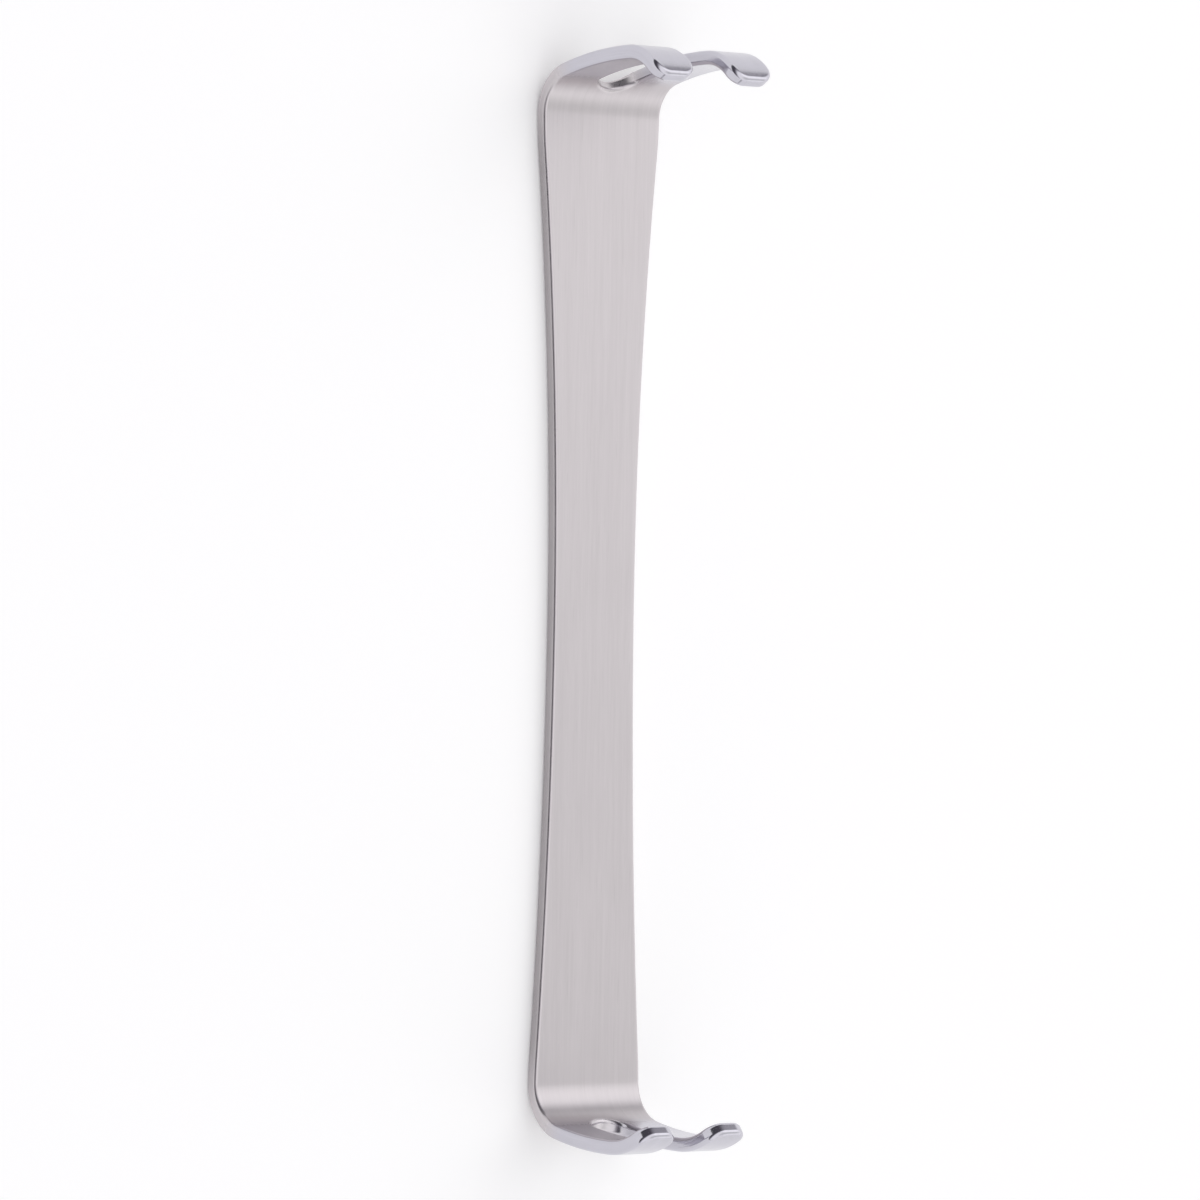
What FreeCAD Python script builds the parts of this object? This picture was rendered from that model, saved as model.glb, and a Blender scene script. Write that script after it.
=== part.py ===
"""Double-ended hand retractor, one strip of stainless steel sheet bent to a C.

Frame, in millimetres: the retractor lies on its back. The back of the handle is on Z 0, both blades
stand up along +Z, the long way is Y with the wider blade at +Y, and the width is X. The origin is under
the middle of the length.
"""
import FreeCAD, Part
import math
import os
from collections import namedtuple

Vector = FreeCAD.Vector

# The whole strip
overall_length = 150.0        # from the outside of one blade to the outside of the other
sheet_thickness = 2.0
handle_width = 14.1           # at its narrowest, half way along
edge_round = 0.6              # on every long edge of the strip
tip_corner = 2.3              # on the corners of each prong, seen flat
flare_blend = 60.0            # radius that leads the waisted sides into the straight sides of a blade

# The wide blade, at the +Y end
wide_blade_width = 20.3       # over both prongs
wide_blade_straight = 8.0     # length of its straight sides, seen from above
wide_blade_reach = 27.2       # height of its tip above the back of the handle
wide_blade_lean = 14.0        # degrees left to upright where the bend ends and the long curve begins
wide_bend_radius = 5.0        # inside the bend between handle and blade
wide_hook_radius = 6.5        # inside the hook at the tip
wide_hook_angle = 60.0        # degrees that the hook turns past upright
wide_slot_width = 6.6         # between the two prongs
wide_slot_start = 48.0        # degrees round the bend to where the slot begins

# The narrow blade, at the -Y end, in the same terms
narrow_blade_width = 18.3
narrow_blade_straight = 8.0
narrow_blade_reach = 26.4
narrow_blade_lean = 12.0
narrow_bend_radius = 5.5
narrow_hook_radius = 11.0
narrow_hook_angle = 40.0
narrow_slot_width = 5.8
narrow_slot_start = 66.0

# What follows from them
half_length = overall_length / 2
upright = math.degrees(math.pi / 2)
sharp = upright / 3           # two faces that meet at more than this make an edge that is rounded

# One blade's sizes; way is 1 at the +Y end and -1 at the -Y end
Blade = namedtuple("Blade", "way width straight reach lean bend_radius "
                            "hook_radius hook_angle slot_width slot_start")
wide_blade = Blade(
    way=1,
    width=wide_blade_width,
    straight=wide_blade_straight,
    reach=wide_blade_reach,
    lean=wide_blade_lean,
    bend_radius=wide_bend_radius,
    hook_radius=wide_hook_radius,
    hook_angle=wide_hook_angle,
    slot_width=wide_slot_width,
    slot_start=wide_slot_start,
)
narrow_blade = Blade(
    way=-1,
    width=narrow_blade_width,
    straight=narrow_blade_straight,
    reach=narrow_blade_reach,
    lean=narrow_blade_lean,
    bend_radius=narrow_bend_radius,
    hook_radius=narrow_hook_radius,
    hook_angle=narrow_hook_angle,
    slot_width=narrow_slot_width,
    slot_start=narrow_slot_start,
)
blades = (wide_blade, narrow_blade)


def turned(centre, radius, angle):
    """Point on a curve of the side view, as (y, z), where the strip has turned by angle from level."""
    a = math.radians(angle)
    return (centre[0] + radius * math.sin(a), centre[1] - radius * math.cos(a))


def blade_curves(blade):
    """The three arcs of a blade's side view, as (centre, inside radius, start angle, end angle).

    They all turn the same way: the bend, the long shallow curve up to where the blade stands upright,
    and the hook at the tip.
    """
    bend = blade.bend_radius
    bend_end = upright - blade.lean
    turn = math.radians(bend_end)
    hook_outside = blade.hook_radius + sheet_thickness
    upright_height = blade.reach - hook_outside * math.sin(math.radians(blade.hook_angle))
    rise = upright_height - sheet_thickness - bend * (1 - math.cos(turn))
    shallow = rise / math.cos(turn)
    inside_face = half_length - sheet_thickness
    bend_start = inside_face - bend * math.sin(turn) - shallow * (1 - math.sin(turn))
    bend_centre = (bend_start, sheet_thickness + bend)
    shallow_centre = (inside_face - shallow, upright_height)
    hook_centre = (inside_face - blade.hook_radius, upright_height)
    return [
        (bend_centre, bend, 0.0, bend_end),
        (shallow_centre, shallow, bend_end, upright),
        (hook_centre, blade.hook_radius, upright, upright + blade.hook_angle),
    ]


def in_side_view(point, way):
    """A point of the side view, put in the middle plane at one end of the strip."""
    return Vector(0, way * point[0], point[1])


def face_edges(blade, offset):
    """Edges along one face of a blade, from the handle to the tip; offset is 0 inside."""
    edges = []
    for centre, radius, start, stop in blade_curves(blade):
        points = [turned(centre, radius + offset, a) for a in (start, (start + stop) / 2, stop)]
        edges.append(Part.Arc(*[in_side_view(p, blade.way) for p in points]).toShape())
    return edges


def end_points(edges):
    """First and last point of a run of edges that was made from the handle to the tip."""
    return edges[0].Vertexes[0].Point, edges[-1].Vertexes[-1].Point


def strip_side_view():
    """The strip seen from the side, as a face in the YZ plane."""
    edges = []
    starts = {}
    for blade in blades:
        inside = face_edges(blade, 0.0)
        outside = face_edges(blade, sheet_thickness)
        inside_start, inside_tip = end_points(inside)
        outside_start, outside_tip = end_points(outside)
        edges += inside + outside
        edges.append(Part.LineSegment(inside_tip, outside_tip).toShape())
        starts[blade.way] = (inside_start, outside_start)
    for face in (0, 1):
        edges.append(Part.LineSegment(starts[-1][face], starts[1][face]).toShape())
    return Part.Face(Part.Wire(Part.__sortEdges__(edges)))


def side_outline(blade, side):
    """Half of one long side seen from above: the waist's arc, its blend and the blade's straight side.

    Both arcs turn by the same angle, one each way, and together they cover the length of the waist and
    lead from the handle's width to the blade's.
    """
    half_waist = handle_width / 2
    half_blade = blade.width / 2
    length = half_length - blade.straight
    widening = half_blade - half_waist
    blend_radius = math.copysign(flare_blend, widening)
    both_radii = (length * length + widening * widening) / (2 * widening)
    waist_radius = both_radii - blend_radius
    angle = math.asin(length / both_radii)

    def at(x, y):
        return Vector(side * x, blade.way * y, 0)

    def on_waist(a):
        return at(half_waist + waist_radius * (1 - math.cos(a)), waist_radius * math.sin(a))

    def on_blend(a):
        return at(half_blade - blend_radius * (1 - math.cos(a)), length - blend_radius * math.sin(a))

    last = at(half_blade, half_length + sheet_thickness)
    edges = [
        Part.Arc(on_waist(0), on_waist(angle / 2), on_waist(angle)).toShape(),
        Part.Arc(on_blend(angle), on_blend(angle / 2), on_blend(0)).toShape(),
        Part.LineSegment(on_blend(0), last).toShape(),
    ]
    return edges, last


def strip_outline():
    """The strip's outline seen from above, as an upright block taller than the blades."""
    edges = []
    for blade in blades:
        right, last_right = side_outline(blade, 1)
        left, last_left = side_outline(blade, -1)
        edges += right + left
        edges.append(Part.LineSegment(last_right, last_left).toShape())
    face = Part.Face(Part.Wire(Part.__sortEdges__(edges)))
    face.translate(Vector(0, 0, -sheet_thickness))
    tallest = max(blade.reach for blade in blades)
    return face.extrude(Vector(0, 0, tallest + 2 * sheet_thickness))


def slot_cutter(blade):
    """A round-ended slot, square to the sheet where it begins, that runs out through the blade's tip."""
    centre, radius, _, _ = blade_curves(blade)[0]
    start = math.radians(blade.slot_start)
    root = in_side_view(turned(centre, radius, blade.slot_start), blade.way)
    along = Vector(0, blade.way * math.cos(start), math.sin(start))
    square = Vector(0, -blade.way * math.sin(start), math.cos(start))
    half = Vector(blade.slot_width / 2, 0, 0)
    round_centre = root + along * half.Length
    left = round_centre - half
    right = round_centre + half
    run_out = along * (2 * blade.reach)
    edges = [
        Part.Arc(left, root, right).toShape(),
        Part.LineSegment(right, right + run_out).toShape(),
        Part.LineSegment(right + run_out, left + run_out).toShape(),
        Part.LineSegment(left + run_out, left).toShape(),
    ]
    face = Part.Face(Part.Wire(edges))
    outside = 3 * sheet_thickness
    face.translate(square * -outside)
    return face.extrude(square * (outside + blade.reach))


def prong_corner_edges(shape):
    """The short edges through the sheet at the corners of the four prongs."""
    found = []
    for blade in blades:
        centre, radius, _, stop = blade_curves(blade)[-1]
        inside = in_side_view(turned(centre, radius, stop), blade.way)
        outside = in_side_view(turned(centre, radius + sheet_thickness, stop), blade.way)
        near = sheet_thickness / 100
        for edge in shape.Edges:
            ends = [Vector(0, v.Point.y, v.Point.z) for v in edge.Vertexes]
            if len(ends) != 2:
                continue
            first, last = ends
            there = first.distanceToPoint(inside) + last.distanceToPoint(outside)
            back = last.distanceToPoint(inside) + first.distanceToPoint(outside)
            if min(there, back) < near:
                found.append(edge)
    return found


def sharp_edges(shape):
    """Edges where two faces meet at a sharp angle."""
    found = []
    for edge in shape.Edges:
        faces = shape.ancestorsOfType(edge, Part.Face)
        if len(faces) != 2:
            continue
        middle = edge.valueAt((edge.FirstParameter + edge.LastParameter) / 2)
        normals = []
        for face in faces:
            u, v = face.Surface.parameter(middle)
            normals.append(face.normalAt(u, v))
        if math.degrees(normals[0].getAngle(normals[1])) > sharp:
            found.append(edge)
    return found


def corner_radius():
    """The radius on the prongs' corners, which leaves a flat between two on the narrowest prong."""
    narrowest = min((blade.width - blade.slot_width) / 2 for blade in blades)
    return min(tip_corner, 0.45 * narrowest)


def edge_radius():
    """The radius along the edges, which leaves a flat in the middle of the sheet's edge."""
    return min(edge_round, 0.45 * sheet_thickness)


def make_retractor():
    """The bent, slotted strip with its corners and edges rounded."""
    widest = max(blade.width for blade in blades)
    side = strip_side_view()
    side.translate(Vector(-widest, 0, 0))
    bent = side.extrude(Vector(2 * widest, 0, 0))
    strip = bent.common(strip_outline())
    for blade in blades:
        strip = strip.cut(slot_cutter(blade))
    strip = strip.Solids[0]
    strip = strip.makeFillet(corner_radius(), prong_corner_edges(strip)).Solids[0]
    return strip.makeFillet(edge_radius(), sharp_edges(strip)).Solids[0]


def main():
    os.makedirs("parts", exist_ok=True)
    retractor = make_retractor()
    retractor.exportStep("parts/retractor.step")
    box = retractor.optimalBoundingBox(False, False)
    print("solids", len(retractor.Solids), "valid", retractor.isValid())
    print("box", [round(v, 3) for v in (box.XMin, box.YMin, box.ZMin, box.XMax, box.YMax, box.ZMax)])
    print("volume", round(retractor.Volume, 1))


main()
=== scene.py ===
import math
from collections import namedtuple

import bpy
import numpy as np
from mathutils import Matrix, Vector
from mathutils.geometry import delaunay_2d_cdt


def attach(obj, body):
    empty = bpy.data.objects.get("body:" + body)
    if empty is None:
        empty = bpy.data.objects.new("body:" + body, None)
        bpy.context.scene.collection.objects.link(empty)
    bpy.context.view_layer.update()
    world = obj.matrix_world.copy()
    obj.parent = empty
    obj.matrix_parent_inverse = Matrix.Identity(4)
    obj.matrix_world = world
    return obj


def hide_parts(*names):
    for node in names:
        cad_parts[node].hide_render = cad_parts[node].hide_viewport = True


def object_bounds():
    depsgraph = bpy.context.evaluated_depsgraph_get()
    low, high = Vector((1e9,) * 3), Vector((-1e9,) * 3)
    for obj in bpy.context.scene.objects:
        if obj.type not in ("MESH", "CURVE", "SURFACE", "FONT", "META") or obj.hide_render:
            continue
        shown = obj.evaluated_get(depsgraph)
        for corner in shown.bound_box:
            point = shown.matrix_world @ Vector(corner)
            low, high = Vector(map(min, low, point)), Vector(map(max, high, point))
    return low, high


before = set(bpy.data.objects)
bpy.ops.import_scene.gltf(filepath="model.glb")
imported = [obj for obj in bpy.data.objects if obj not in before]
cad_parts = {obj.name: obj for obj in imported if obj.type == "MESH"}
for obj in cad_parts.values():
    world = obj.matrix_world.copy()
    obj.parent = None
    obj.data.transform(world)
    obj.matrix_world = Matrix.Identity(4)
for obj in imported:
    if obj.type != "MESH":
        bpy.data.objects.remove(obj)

cad_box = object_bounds()

mm = 0.001

# The retractor's own sizes, which are the solid's
overall_length = cad_box[1].y - cad_box[0].y
sheet_thickness = 2.0 * mm
handle_width = 14.1 * mm
edge_round = 0.6 * mm
tip_corner = 2.3 * mm
flare_blend = 60.0 * mm
quarter_turn = math.pi / 2

Blade = namedtuple("Blade", "way width straight reach lean bend_radius "
                            "hook_radius hook_angle slot_width slot_start")
wide_blade = Blade(
    way=1,
    width=20.3 * mm,
    straight=8.0 * mm,
    reach=27.2 * mm,
    lean=math.radians(14),
    bend_radius=5.0 * mm,
    hook_radius=6.5 * mm,
    hook_angle=math.radians(60),
    slot_width=6.6 * mm,
    slot_start=math.radians(48),
)
narrow_blade = Blade(
    way=-1,
    width=18.3 * mm,
    straight=8.0 * mm,
    reach=26.4 * mm,
    lean=math.radians(12),
    bend_radius=5.5 * mm,
    hook_radius=11.0 * mm,
    hook_angle=math.radians(40),
    slot_width=5.8 * mm,
    slot_start=math.radians(66),
)
blades = (wide_blade, narrow_blade)

# How finely the strip is meshed
handle_step = 2.0 * mm
blade_step = 0.55 * mm
across_step = 1.0 * mm
edge_gap = 0.33 * mm          # between a face's own points and those on its edge
weld = 0.0001 * mm            # points nearer than this are one
round_steps = 6               # faces round each half of a long edge

# Where the finish, the painted lavender reflection tint of the blades and the painted shade on the handle's
# sides change, in millimetres along the sheet from the middle of the handle
polish_and_tint_starts = 72.5
polish_and_tint_full = 77.5
side_shade_fade = 60.0
side_shade_end = 70.0

# Where the photograph was taken from, and the frame it fills
picture_width = 1200.0        # pixels
pixels_per_mm = 7.26          # at the handle
camera_turn = math.radians(38.0)     # how far the handle's face is turned from the camera
camera_roll = math.radians(0.9)
distance_in_pixels = 7000.0   # from the camera to the aim, on the picture's scale
camera_distance = distance_in_pixels / pixels_per_mm * mm
aim = Vector((0.49, 0.0, 2.38)) * mm
sensor_width = 36.0           # millimetres, as Blender counts them

# Where the pale part of the studio lies, seen from the retractor; the rest of the studio is dim
studio_bright_side = Vector((0.45, -0.35, 0.82)).normalized()
backdrop_top = math.radians(5.0)     # how high the white backdrop stands all round, seen from there
backdrop_fade = math.radians(1.5)
floor_half = 3.0              # metres
floor_drop = 0.02 * mm        # how far the floor lies below the retractor's back
floor_lift = 0.17             # what the floor adds to its lit colour, where 1 is white
white = (1.0, 1.0, 1.0, 1.0)
table_white = (0.92, 0.92, 0.92, 1.0)


class Socket:
    """A number in a shader. Arithmetic on it adds Math nodes, so shader maths reads as Python."""

    def __init__(self, shader, link):
        self.shader = shader
        self.link = link

    def math(self, operation, *values):
        return self.shader.node("Math", {"operation": operation}, dict(enumerate(values))).out()

    def __add__(self, other):
        return self.math("ADD", self, other)

    def __radd__(self, other):
        return self.math("ADD", other, self)

    def __sub__(self, other):
        return self.math("SUBTRACT", self, other)

    def __rsub__(self, other):
        return self.math("SUBTRACT", other, self)

    def __mul__(self, other):
        return self.math("MULTIPLY", self, other)

    def __rmul__(self, other):
        return self.math("MULTIPLY", other, self)

    def __abs__(self):
        return self.math("ABSOLUTE", self)

    def between(self, low, high):
        """0 below low, 1 above high, and a smooth step between them."""
        settings = {"interpolation_type": "SMOOTHSTEP"}
        inputs = {"Value": self, "From Min": low, "From Max": high}
        return self.shader.node("MapRange", settings, inputs).out()


def find_socket(sockets, key):
    """The socket of a number, or of a name among those that the node's settings leave switched on."""
    if isinstance(key, int):
        return sockets[key]
    return next(s for s in sockets if s.name == key and s.enabled)


class Node:
    """A shader node, which gives its outputs as Sockets."""

    def __init__(self, shader, node):
        self.shader = shader
        self.node = node

    def out(self, name=None):
        """The output of a name, or else the first that is switched on."""
        if name is None:
            return Socket(self.shader, next(s for s in self.node.outputs if s.enabled))
        return Socket(self.shader, find_socket(self.node.outputs, name))


class Shader:
    """The node tree of a material or of the world."""

    def __init__(self, owner):
        owner.use_nodes = True
        self.tree = owner.node_tree
        self.tree.nodes.clear()

    def node(self, kind, settings=None, inputs=None):
        """Adds a node: its settings are set first, a ramp's stops among them, and then its sockets."""
        made = Node(self, self.tree.nodes.new("ShaderNode" + kind))
        for name, value in (settings or {}).items():
            if name == "stops":
                self.set_stops(made.node.color_ramp, value)
            else:
                setattr(made.node, name, value)
        for key, value in (inputs or {}).items():
            socket = find_socket(made.node.inputs, key)
            if isinstance(value, Socket):
                self.tree.links.new(value.link, socket)
            else:
                socket.default_value = value
        return made

    def set_stops(self, ramp, stops):
        while len(ramp.elements) < len(stops):
            ramp.elements.new(1.0)
        for element, (position, colour) in zip(ramp.elements, stops):
            element.position = position
            element.color = (*colour, 1.0)

    def scaled(self, vector, factors):
        return self.node("VectorMath", {"operation": "MULTIPLY"}, {0: vector, 1: factors}).out()


# The strip's shape is worked out on the flat blank and then bent. Across is X, along is the length
# over the middle of the sheet from the middle of the handle, and height is from the sheet's back.

def blade_curves(blade):
    """The bend, the long curve and the hook, as (centre, inside radius, start angle, end angle)."""
    half_length = overall_length / 2
    bend_end = quarter_turn - blade.lean
    hook_end = quarter_turn + blade.hook_angle
    hook_outside = blade.hook_radius + sheet_thickness
    upright_height = blade.reach - hook_outside * math.sin(blade.hook_angle)
    rise = upright_height - sheet_thickness - blade.bend_radius * (1 - math.cos(bend_end))
    long_radius = rise / math.cos(bend_end)
    inside_face = half_length - sheet_thickness
    bend_start = (inside_face - blade.bend_radius * math.sin(bend_end)
                  - long_radius * (1 - math.sin(bend_end)))
    bend_centre = (bend_start, sheet_thickness + blade.bend_radius)
    long_centre = (inside_face - long_radius, upright_height)
    hook_centre = (inside_face - blade.hook_radius, upright_height)
    return [
        (bend_centre, blade.bend_radius, 0.0, bend_end),
        (long_centre, long_radius, bend_end, quarter_turn),
        (hook_centre, blade.hook_radius, quarter_turn, hook_end),
    ]


def stretches(blade):
    """Each curve with where it starts along the sheet, as (start, middle radius, curve); and the tip."""
    rows = []
    along = blade_curves(blade)[0][0][0]
    for curve in blade_curves(blade):
        _, radius, start, stop = curve
        middle = radius + sheet_thickness / 2
        rows.append((along, middle, curve))
        along += middle * (stop - start)
    return rows, along


def bent(points, directions):
    """Points and directions on the flat blank, turned to where the bent strip has them."""
    along, height = points[:, 1], points[:, 2]
    spots = points.copy()
    turned = directions.copy()
    for blade in blades:
        rows, _ = stretches(blade)
        for start, middle, (centre, radius, first, _) in rows:
            here = blade.way * along >= start
            angle = first + (blade.way * along[here] - start) / middle
            sine, cosine = np.sin(angle), np.cos(angle)
            out = radius + sheet_thickness - height[here]
            spots[here, 1] = blade.way * (centre[0] + out * sine)
            spots[here, 2] = centre[1] - out * cosine
            forward = blade.way * directions[here, 1]
            up = directions[here, 2]
            turned[here, 1] = blade.way * (forward * cosine - up * sine)
            turned[here, 2] = forward * sine + up * cosine
    return spots, turned


def arc(centre, radius, start, stop, step):
    """Points of an arc in the blank, without its last one. A radius below 0 is across the centre."""
    count = max(4, math.ceil(abs(stop - start) * abs(radius) / step))
    angles = [start + (stop - start) * i / count for i in range(count)]
    return [(centre[0] + radius * math.cos(a), centre[1] + radius * math.sin(a)) for a in angles]


def line(start, stop, step):
    """Evenly spaced points from start towards stop, without the last one."""
    count = max(1, math.ceil(math.dist(start, stop) / step))
    return [(start[0] + (stop[0] - start[0]) * i / count, start[1] + (stop[1] - start[1]) * i / count)
            for i in range(count)]


def half_outline(blade):
    """One long side of the blank, from the middle of the handle round a prong to the slot's root."""
    half_waist = handle_width / 2
    half_blade = blade.width / 2
    half_slot = blade.slot_width / 2
    length = overall_length / 2 - blade.straight
    widening = half_blade - half_waist
    both_radii = (length ** 2 + widening ** 2) / (2 * widening)
    waist_radius = both_radii - flare_blend
    angle = math.asin(length / both_radii)
    rows, tip = stretches(blade)
    corner = tip - tip_corner
    slot_root = rows[0][0] + rows[0][1] * blade.slot_start
    slot_centre = slot_root + half_slot
    points = arc((half_waist + waist_radius, 0), -waist_radius, 0, -angle, handle_step)
    points += arc((half_blade - flare_blend, length), flare_blend, -angle, 0, blade_step)
    points += line((half_blade, length), (half_blade, corner), blade_step)
    points += arc((half_blade - tip_corner, corner), tip_corner, 0, quarter_turn, blade_step / 2)
    points += line((half_blade - tip_corner, tip), (half_slot + tip_corner, tip), blade_step)
    points += arc((half_slot + tip_corner, corner), tip_corner, quarter_turn, math.pi, blade_step / 2)
    points += line((half_slot, corner), (half_slot, slot_centre), blade_step)
    points += arc((0, slot_centre), half_slot, 0, -quarter_turn, blade_step / 2)
    points.append((0.0, slot_root))
    return points


def blank_outline():
    """The whole outline of the flat blank, anticlockwise, as an array of (across, along)."""
    points = []
    for blade in blades:
        side = half_outline(blade)
        right = [(x, blade.way * y) for x, y in side]
        left = [(-x, blade.way * y) for x, y in side[-2:0:-1]]
        if blade.way < 0:
            right = [(-x, y) for x, y in right]
            left = [(-x, y) for x, y in left]
        points += right + left
    return np.array(points)


def outward(loop):
    """The direction out of the blank at each point of its outline."""
    ahead = np.roll(loop, -1, axis=0) - np.roll(loop, 1, axis=0)
    ahead /= np.linalg.norm(ahead, axis=1)[:, None]
    return np.stack([ahead[:, 1], -ahead[:, 0]], axis=1)


def inside(points, loop):
    """Which points lie inside a closed loop."""
    x, y = points[:, 0][:, None], points[:, 1][:, None]
    x1, y1 = loop.T
    x2, y2 = np.roll(loop, -1, axis=0).T
    crosses = (y1 > y) != (y2 > y)
    with np.errstate(divide="ignore", invalid="ignore"):
        at = x1 + (y - y1) * (x2 - x1) / (y2 - y1)
    return (crosses & (x < at)).sum(axis=1) % 2 == 1


def from_outline(points, loop):
    """How far each point is from the nearest point of a loop."""
    return np.array([np.hypot(*(loop - p).T).min() for p in points])


def face_grid(loop):
    """Points for the inside of a face: rows close together where the strip is bent."""
    narrow_tip, wide_tip = loop[:, 1].min(), loop[:, 1].max()
    straight = min(stretches(blade)[0][0][0] for blade in blades)
    last = int(straight / handle_step)
    rows = [i * handle_step for i in range(-last, last + 1)]
    rows += list(np.arange(rows[-1] + blade_step, wide_tip, blade_step))
    rows += list(np.arange(rows[0] - blade_step, narrow_tip, -blade_step))
    widest = loop[:, 0].max()
    columns = np.arange(-widest, widest, across_step) + across_step / 2
    points = np.array([(x, y) for y in rows for x in columns])
    points = points[inside(points, loop)]
    return points[from_outline(points, loop) > edge_gap]


def face_triangles(edge, grid):
    """The triangles of a face, by the numbers of the points on its edge and then of those inside."""
    corners = [Vector(p) for p in np.vstack([edge, grid])]
    loop = list(range(len(edge)))
    _, _, triangles, came_from, _, _ = delaunay_2d_cdt(corners, [], [loop], 1, weld)
    return [[came_from[i][0] for i in triangle] for triangle in triangles]


def edge_profile():
    """The rounded edge from the inner face over to the back, as (inset, height, angle it faces)."""
    steps = [quarter_turn * (1 - i / round_steps) for i in range(round_steps + 1)]
    inner = [(edge_round * (1 - math.cos(a)), sheet_thickness - edge_round + edge_round * math.sin(a), a)
             for a in steps]
    return inner + [(inset, sheet_thickness - height, -a) for inset, height, a in reversed(inner)]


def flat_strip(outline):
    """The flat blank with its long edges rounded: its points, the way each one faces, and its faces."""
    out = outward(outline)
    profile = edge_profile()
    count = len(outline)
    points, facing = [], []
    for inset, height, angle in profile:
        points.append(np.column_stack([outline - out * inset, np.full(count, height)]))
        facing.append(np.column_stack([out * math.cos(angle), np.full(count, math.sin(angle))]))
    edge = outline - out * edge_round
    grid = face_grid(edge)
    for height, up in ((sheet_thickness, 1.0), (0.0, -1.0)):
        points.append(np.column_stack([grid, np.full(len(grid), height)]))
        facing.append(np.column_stack([np.zeros((len(grid), 2)), np.full(len(grid), up)]))
    faces = []
    for ring in range(len(profile) - 1):
        above, below = ring * count, (ring + 1) * count
        for i in range(count):
            j = (i + 1) % count
            faces.append((above + i, below + i, below + j, above + j))
    rings = len(profile) * count
    inner = [*range(count), *range(rings, rings + len(grid))]
    back = [*range(rings - count, rings), *range(rings + len(grid), rings + 2 * len(grid))]
    for a, b, c in face_triangles(edge, grid):
        faces.append((inner[a], inner[b], inner[c]))
        faces.append((back[c], back[b], back[a]))
    return np.vstack(points), np.vstack(facing), faces


def strip_mesh():
    """The bent strip. Each vertex keeps where it lay on the blank, and how far from the outline."""
    outline = blank_outline()
    flat, facing, faces = flat_strip(outline)
    spots, normals = bent(flat, facing)
    mesh = bpy.data.meshes.new("bent_strip")
    mesh.from_pydata(spots.tolist(), [], faces)
    mesh.shade_smooth()
    mesh.normals_split_custom_set_from_vertices(normals.tolist())
    lie = mesh.attributes.new("lie", "FLOAT_VECTOR", "POINT")
    lie.data.foreach_set("vector", flat.astype(np.float32).ravel())
    from_edge = mesh.attributes.new("from_edge", "FLOAT", "POINT")
    from_edge.data.foreach_set("value", from_outline(flat[:, :2], outline).astype(np.float32))
    mesh.validate()
    return mesh


def satin_steel():
    """Stainless steel: satin along the strip, smoother on the blades; painted shade darkens the handle's
    sides, a painted reflection tints the blades lavender, and a painted highlight lightens the edges.
    """
    material = bpy.data.materials.new("satin_steel")
    shader = Shader(material)
    lie = shader.node("Attribute", {"attribute_name": "lie"}).out("Vector")
    from_edge = shader.node("Attribute", {"attribute_name": "from_edge"}).out("Fac") * (1 / mm)
    in_mm = shader.scaled(lie, (1 / mm, 1 / mm, 1 / mm))
    length = abs(shader.node("SeparateXYZ", {}, {"Vector": in_mm}).out("Y"))
    polish_and_painted_tint = length.between(polish_and_tint_starts, polish_and_tint_full)

    def grain(across, lengthwise, detail):
        """Noise with so many waves to the millimetre across the strip and along it."""
        stretched = shader.scaled(in_mm, (across, lengthwise, across))
        return shader.node("TexNoise", {}, {"Vector": stretched, "Scale": 1.0, "Detail": detail}).out("Fac")

    fine = grain(across=9.0, lengthwise=0.22, detail=3.0)
    coarse = grain(across=2.6, lengthwise=0.05, detail=2.0)
    streaks = grain(across=0.7, lengthwise=0.03, detail=2.0)
    cloud = grain(across=0.12, lengthwise=0.08, detail=3.0)
    scratch = grain(across=3.5, lengthwise=0.16, detail=1.0).between(0.69, 0.74)
    rim = 1 - from_edge.between(0.25, 0.9)
    # Painted shade: the handle's side walls are darkened in the base colour, fading out towards the blades.
    painted_side_shade = (1 - from_edge.between(0.0, 0.3)) * (1 - length.between(side_shade_fade, side_shade_end))
    lines = fine * 0.5 + coarse * 0.5
    # Painted highlight: rim lightens the base colour along the edges; scratch is real wear, and rim's lower
    # roughness below is real polish.
    scratches_and_painted_light = rim * 0.03 - scratch * 0.04 - painted_side_shade * 0.28
    tone = 0.81 + lines * 0.20 + streaks * 0.08 + cloud * 0.06 + scratches_and_painted_light
    # Painted reflection: the blades' colour shifts towards lavender where they are polished; their lower
    # roughness and weaker grain are the real polish.
    steel = shader.node("CombineColor", {}, {
        "Red": tone * (0.600 - polish_and_painted_tint * 0.030),
        "Green": tone * (0.566 - polish_and_painted_tint * 0.006),
        "Blue": tone * (0.580 + polish_and_painted_tint * 0.035),
    }).out()
    satin = 0.26 + lines * 0.14 + cloud * 0.08 - polish_and_painted_tint * 0.17 - rim * 0.08
    height = lines * (1 - polish_and_painted_tint * 0.6) - scratch * 0.5
    bump = shader.node("Bump", {}, {"Height": height, "Strength": 0.4, "Distance": 0.012 * mm}).out()
    surface = shader.node("BsdfPrincipled", {}, {
        "Base Color": steel,
        "Metallic": 1.0,
        "Roughness": satin,
        "Normal": bump,
    })
    shader.node("OutputMaterial", {}, {"Surface": surface.out()})
    return material


def floor_finish():
    """A plain white table top, lifted to white where the camera or the steel sees it."""
    material = bpy.data.materials.new("white_table")
    shader = Shader(material)
    path = shader.node("LightPath")
    seen = path.out("Is Camera Ray") + path.out("Is Glossy Ray") + path.out("Is Transmission Ray")
    table = shader.node("BsdfDiffuse", {}, {"Color": table_white}).out()
    lift = shader.node("Emission", {}, {"Color": white, "Strength": seen * floor_lift}).out()
    both = shader.node("AddShader", {}, {0: table, 1: lift}).out()
    shader.node("OutputMaterial", {}, {"Surface": both})
    return material


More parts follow.
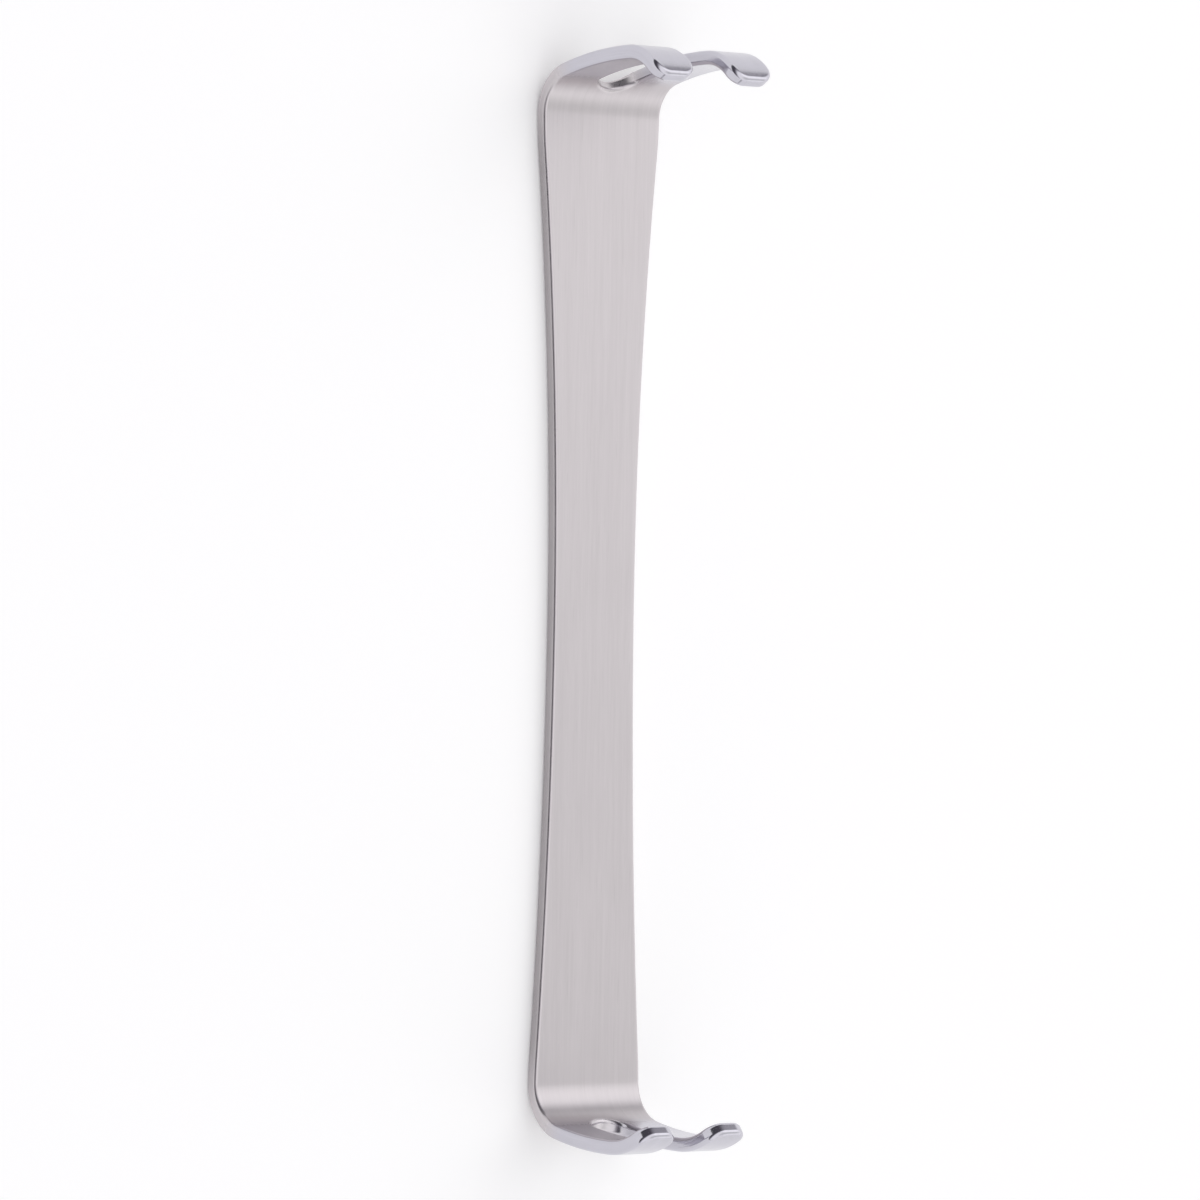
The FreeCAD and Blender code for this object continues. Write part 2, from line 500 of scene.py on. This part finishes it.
def add_floor():
    """The table top, a hair below the retractor's back."""
    mesh = bpy.data.meshes.new("floor")
    signs = [(-1, -1), (1, -1), (1, 1), (-1, 1)]
    corners = [(x * floor_half, y * floor_half, -floor_drop) for x, y in signs]
    mesh.from_pydata(corners, [], [(0, 1, 2, 3)])
    mesh.materials.append(floor_finish())
    floor = bpy.data.objects.new("floor", mesh)
    bpy.context.scene.collection.objects.link(floor)


def add_sky():
    """The studio: a low white backdrop all round, and above it pale on one side and dim on the other."""
    world = bpy.data.worlds.new("studio")
    shader = Shader(world)
    direction = shader.node("TexCoord").out("Generated")
    settings = {"operation": "DOT_PRODUCT"}
    towards = shader.node("VectorMath", settings, {0: direction, 1: studio_bright_side}).out()
    height = shader.node("SeparateXYZ", {}, {"Vector": direction}).out("Z")
    above = height.between(math.sin(backdrop_top), math.sin(backdrop_top + backdrop_fade))
    stops = [
        (0.30, (0.08, 0.08, 0.09)),
        (0.52, (0.10, 0.09, 0.11)),
        (0.61, (0.50, 0.49, 0.52)),
        (0.70, (1.14, 1.13, 1.15)),
        (0.91, (1.12, 1.11, 1.12)),
        (0.96, (0.84, 0.84, 0.84)),
        (1.0, (0.77, 0.77, 0.77)),
    ]
    walls = shader.node("ValToRGB", {"stops": stops}, {"Fac": towards * 0.5 + 0.5}).out("Color")
    colour = shader.node("Mix", {"data_type": "RGBA"}, {"Factor": above, "A": white, "B": walls}).out()
    light = shader.node("Background", {}, {"Color": colour, "Strength": 1.0}).out()
    shader.node("OutputWorld", {}, {"Surface": light})
    bpy.context.scene.world = world


def add_lamp(name, place, size, power):
    """A square soft light at a place, turned to the middle of the retractor."""
    light = bpy.data.lights.new(name, "AREA")
    light.shape = "SQUARE"
    light.size = size
    light.energy = power
    lamp = bpy.data.objects.new(name, light)
    lamp.location = place
    lamp.rotation_euler = (-Vector(place)).to_track_quat("-Z", "Y").to_euler()
    bpy.context.scene.collection.objects.link(lamp)


def add_camera():
    """The camera of the photograph: level with the handle's middle, and looking across it from above."""
    view = Vector((math.sin(camera_turn), 0.0, -math.cos(camera_turn)))
    level = Vector((math.cos(camera_turn), 0.0, math.sin(camera_turn)))
    long_way = Vector((0.0, 1.0, 0.0))
    up = long_way * math.cos(camera_roll) - level * math.sin(camera_roll)
    right = level * math.cos(camera_roll) + long_way * math.sin(camera_roll)
    data = bpy.data.cameras.new("camera")
    data.sensor_width = sensor_width
    data.lens = sensor_width * camera_distance / mm * pixels_per_mm / picture_width
    data.clip_start = 0.05
    data.clip_end = 20.0
    camera = bpy.data.objects.new("camera", data)
    turn = Matrix((right, up, -view)).transposed()
    camera.matrix_world = Matrix.Translation(aim - view * camera_distance) @ turn.to_4x4()
    bpy.context.scene.collection.objects.link(camera)
    bpy.context.scene.camera = camera


bpy.context.scene.view_settings.view_transform = "Standard"

strip = bpy.data.objects.new("bent_strip", strip_mesh())
strip.data.materials.append(satin_steel())
bpy.context.scene.collection.objects.link(strip)
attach(strip, "root")
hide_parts("retractor")

add_floor()
add_sky()
add_lamp("window", place=(0.65, 0.48, 0.9), size=1.0, power=0.8)
add_lamp("door", place=(0.75, -0.74, 0.62), size=0.6, power=0.25)
add_camera()
